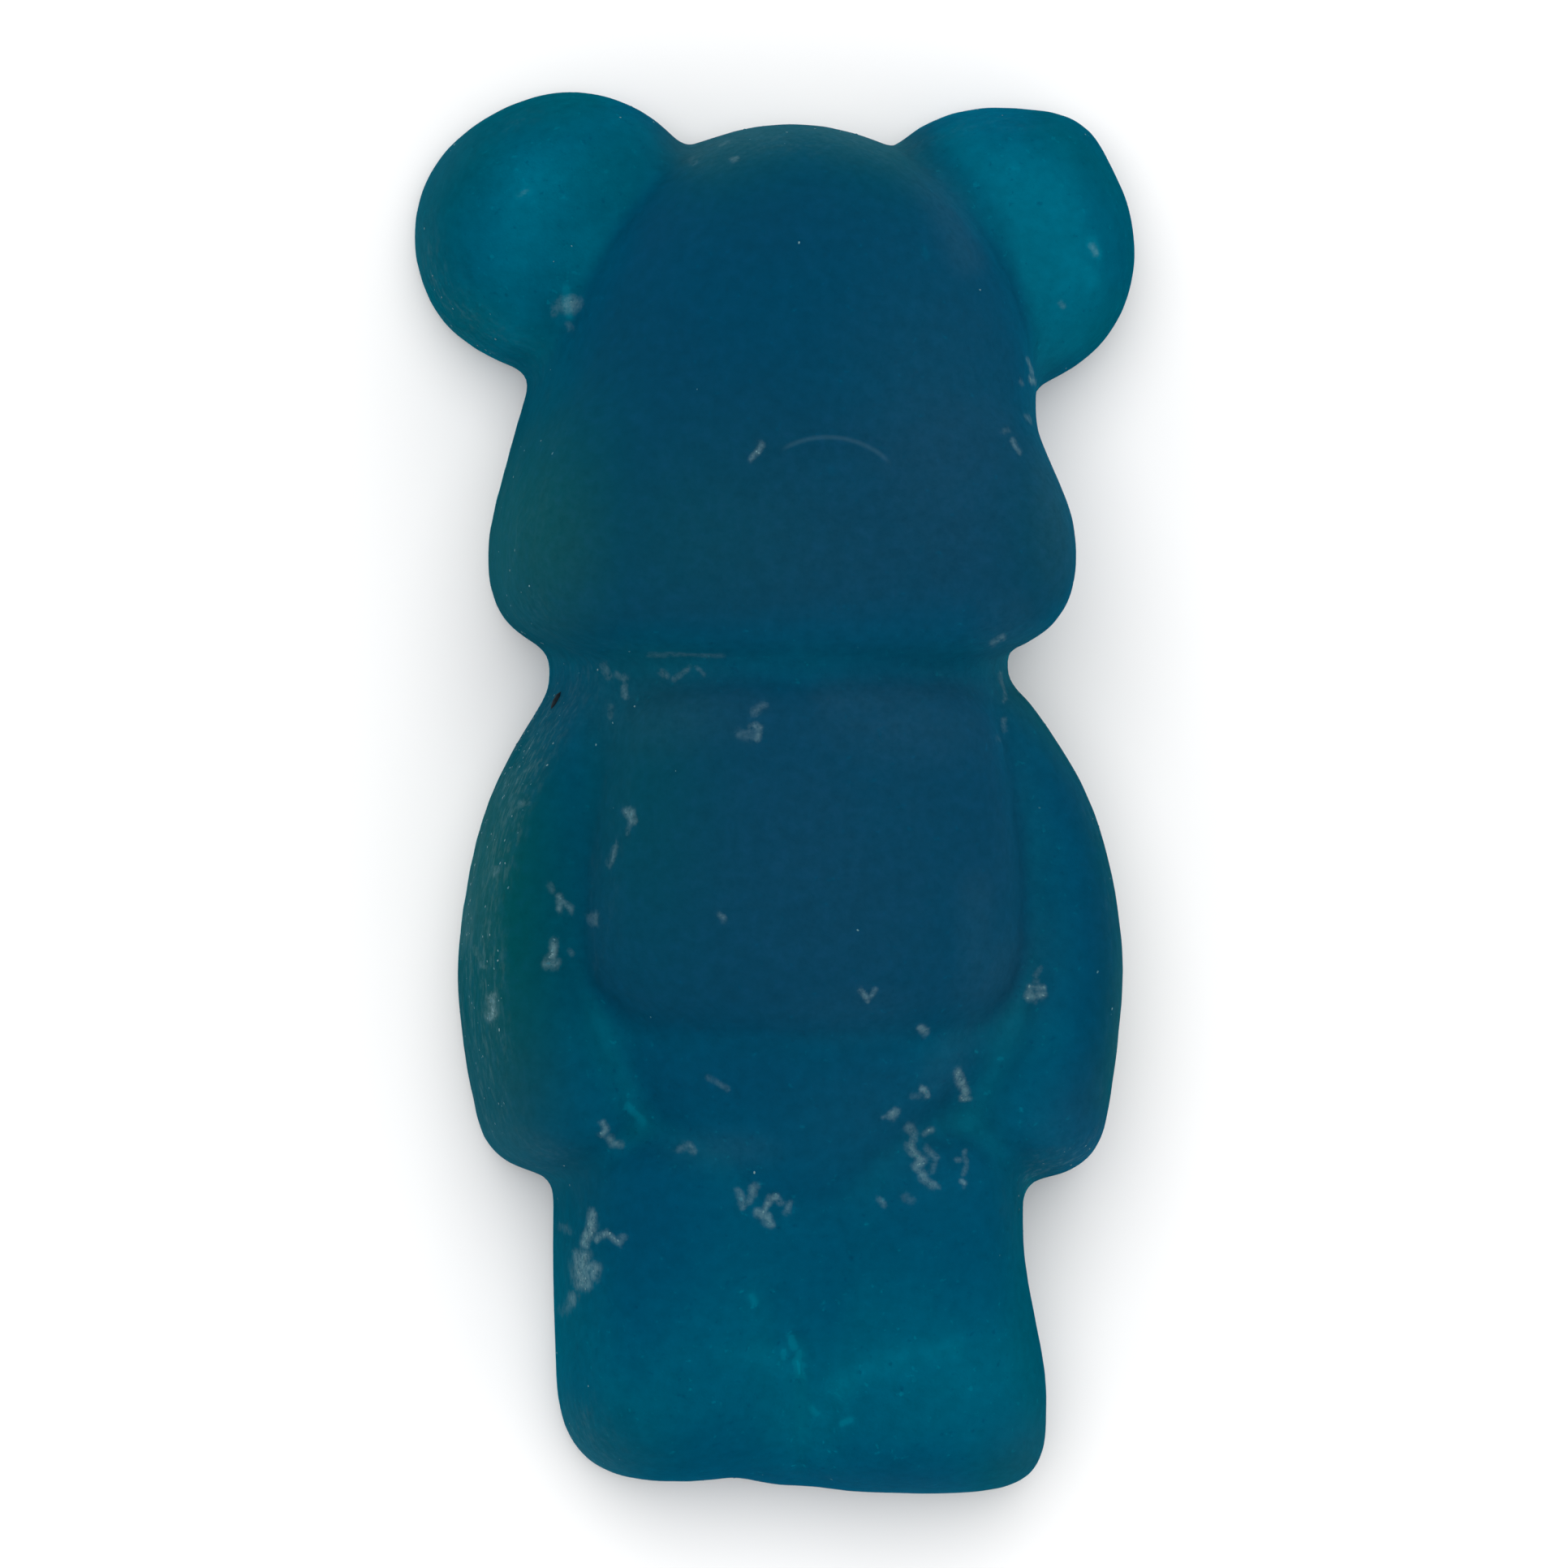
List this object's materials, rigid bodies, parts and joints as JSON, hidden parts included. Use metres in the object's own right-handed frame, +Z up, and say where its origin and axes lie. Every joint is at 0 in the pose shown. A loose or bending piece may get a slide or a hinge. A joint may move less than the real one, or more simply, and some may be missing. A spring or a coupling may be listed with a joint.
{
  "type": "gummy candy",
  "caption": "Soft bear-shaped gelatine sweet moulded in one piece, lying face up on the flat back that was the open side of its mould.",
  "frame": {"origin": "middle of the flat back on the surface that the sweet lies on", "axes": "+Y along the bear from the feet to the ears, +X across it to the right as seen from above, +Z up out of the face"},
  "size_m": [0.0134, 0.026, 0.0078],
  "materials": {
    "gum": "dark blue-teal translucent gelatine with a satin, slightly frosty skin and small dabs of white starch"
  },
  "bodies": {
    "root": {"gummy_bear": "gum"}
  },
  "joints": []
}
